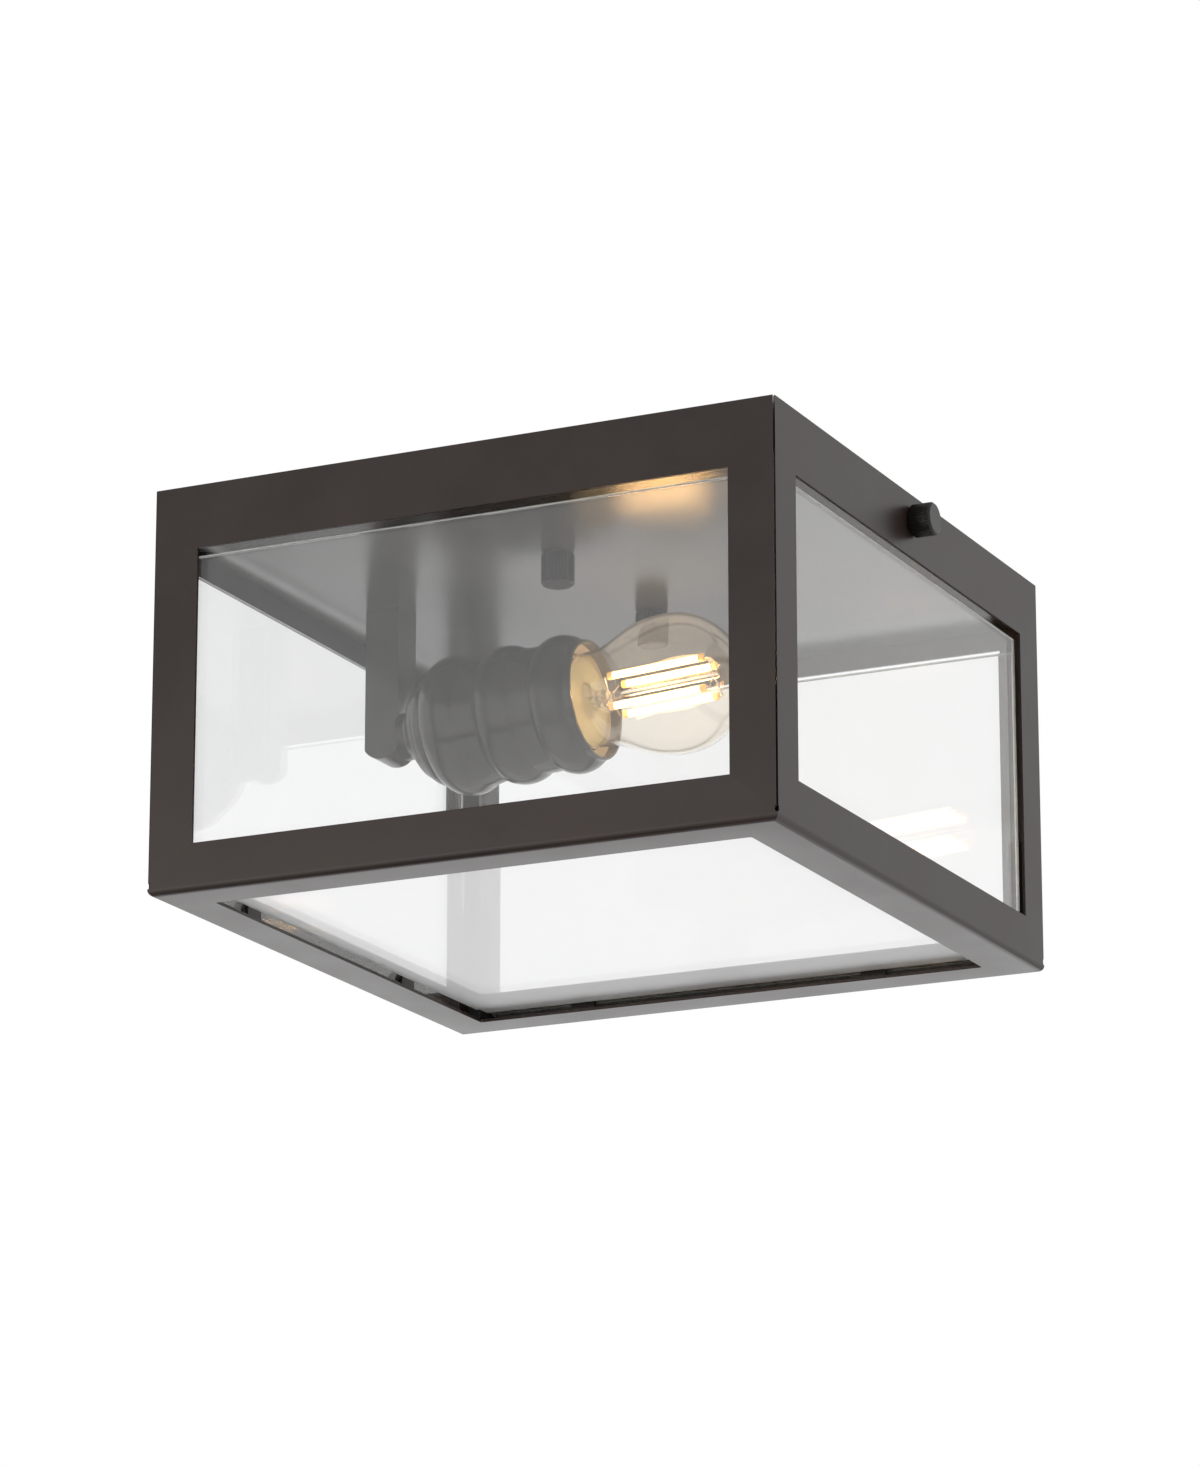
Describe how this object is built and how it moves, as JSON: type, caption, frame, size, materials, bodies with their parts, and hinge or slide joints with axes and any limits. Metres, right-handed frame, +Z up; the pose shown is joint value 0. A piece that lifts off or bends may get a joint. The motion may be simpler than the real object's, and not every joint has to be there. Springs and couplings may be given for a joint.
{
  "type": "flush mount ceiling light",
  "caption": "Square lantern-style ceiling light: folded steel cage with clear panes round a globe bulb in a beaded cup on a side arm, hung under a ceiling pan by knurled cap nuts.",
  "frame": {"origin": "on the ceiling plane at the cage's centre, midway between the two junction box slots", "axes": "+Z up into the ceiling, +X along the front face towards the bulb's end, +Y to the back"},
  "size_m": [0.259, 0.241, 0.149],
  "materials": {
    "bronze_paint": "satin oil-rubbed bronze",
    "dark_bronze": "dark satin bronze, knurled",
    "clear_glass": "clear, polished edges",
    "bulb_glass": "clear, thin blown",
    "zinc_steel": "zinc plated",
    "plain_brass": "plain turned",
    "green_screw": "green dyed",
    "porcelain": "unglazed",
    "black_insulation": "matt",
    "white_insulation": "matt",
    "solder": "dull solder",
    "black_glass": "black vitrite",
    "nickel_shell": "nickel plated",
    "black_rubber": "matt black rubber",
    "circuit_board": "board with parts",
    "cream_collar": "cream plastic",
    "lit_filament": "warm white, lit"
  },
  "bodies": {
    "pan": {"ceiling_pan": "bronze_paint", "box_bar": "zinc_steel", "stud_bar": "zinc_steel", "bar_rivet": "zinc_steel", "mounting_studs": "zinc_steel", "stud_lock_nuts": "zinc_steel", "ground_screw": "green_screw", "lamp_arm": "bronze_paint", "arm_nipple": "plain_brass", "arm_nipple_washer": "zinc_steel", "arm_nipple_nut": "plain_brass", "socket_nipple": "plain_brass", "socket_nipple_nut": "plain_brass", "socket_cup": "bronze_paint", "socket_body": "porcelain", "socket_screw_shell": "plain_brass", "socket_contact": "plain_brass", "lead_black": "black_insulation", "lead_white": "white_insulation"},
    "cage": {"cage_frame": "bronze_paint", "glass_front": "clear_glass", "glass_back": "clear_glass", "glass_left": "clear_glass", "glass_right": "clear_glass", "glass_bottom": "clear_glass", "glass_tongues": "bronze_paint", "rest_pads": "black_rubber", "corner_clips": "bronze_paint", "screw_bushes": "zinc_steel"},
    "front_nut": {"cap_nut_front": "dark_bronze"},
    "back_nut": {"cap_nut_back": "dark_bronze"},
    "right_shank": {"thumbscrew_right_shank": "zinc_steel"},
    "right_head": {"thumbscrew_right_head": "dark_bronze"},
    "left_shank": {"thumbscrew_left_shank": "zinc_steel"},
    "left_head": {"thumbscrew_left_head": "dark_bronze"},
    "bulb_tip": {"bulb_contact": "solder", "bulb_insulator": "black_glass"},
    "bulb": {"bulb_base_shell": "nickel_shell", "bulb_driver": "circuit_board", "bulb_collar": "cream_collar", "bulb_glass": "bulb_glass", "bulb_stem": "bulb_glass", "bulb_filaments": "lit_filament", "bulb_wires": "nickel_shell"}
  },
  "joints": [
    {"name": "cage_drop", "type": "slide", "parent": "pan", "child": "cage", "axis": [0, 0, -1], "range_m": [0, 0.15]},
    {"name": "front_nut_travel", "type": "slide", "parent": "pan", "child": "front_nut", "axis": [0, 0, -1], "range_m": [0, 0.012]},
    {"name": "back_nut_travel", "type": "slide", "parent": "pan", "child": "back_nut", "axis": [0, 0, -1], "range_m": [0, 0.012]},
    {"name": "right_screw_travel", "type": "slide", "parent": "cage", "child": "right_shank", "axis": [1, 0, 0], "range_m": [0, 0.0036]},
    {"name": "right_screw_turn", "type": "hinge", "parent": "right_shank", "child": "right_head", "pos_m": [0.125, 0, -0.01], "axis": [1, 0, 0], "range_deg": [0, 1800]},
    {"name": "left_screw_travel", "type": "slide", "parent": "cage", "child": "left_shank", "axis": [-1, 0, 0], "range_m": [0, 0.0036]},
    {"name": "left_screw_turn", "type": "hinge", "parent": "left_shank", "child": "left_head", "pos_m": [-0.125, 0, -0.01], "axis": [-1, 0, 0], "range_deg": [0, 1800]},
    {"name": "bulb_travel", "type": "slide", "parent": "pan", "child": "bulb_tip", "axis": [0.9981, 0, 0.061], "range_m": [0, 0.02]},
    {"name": "bulb_turn", "type": "hinge", "parent": "bulb_tip", "child": "bulb", "pos_m": [-0.0815, 0, -0.06545], "axis": [0.9981, 0, 0.061], "range_deg": [0, 1980]}
  ],
  "couplings": [
    {"joint": "right_screw_travel", "follows": "right_screw_turn", "m_per_rad": 0.00011141},
    {"joint": "left_screw_travel", "follows": "left_screw_turn", "m_per_rad": 0.00011141},
    {"joint": "bulb_travel", "follows": "bulb_turn", "m_per_rad": 0.00057757}
  ]
}
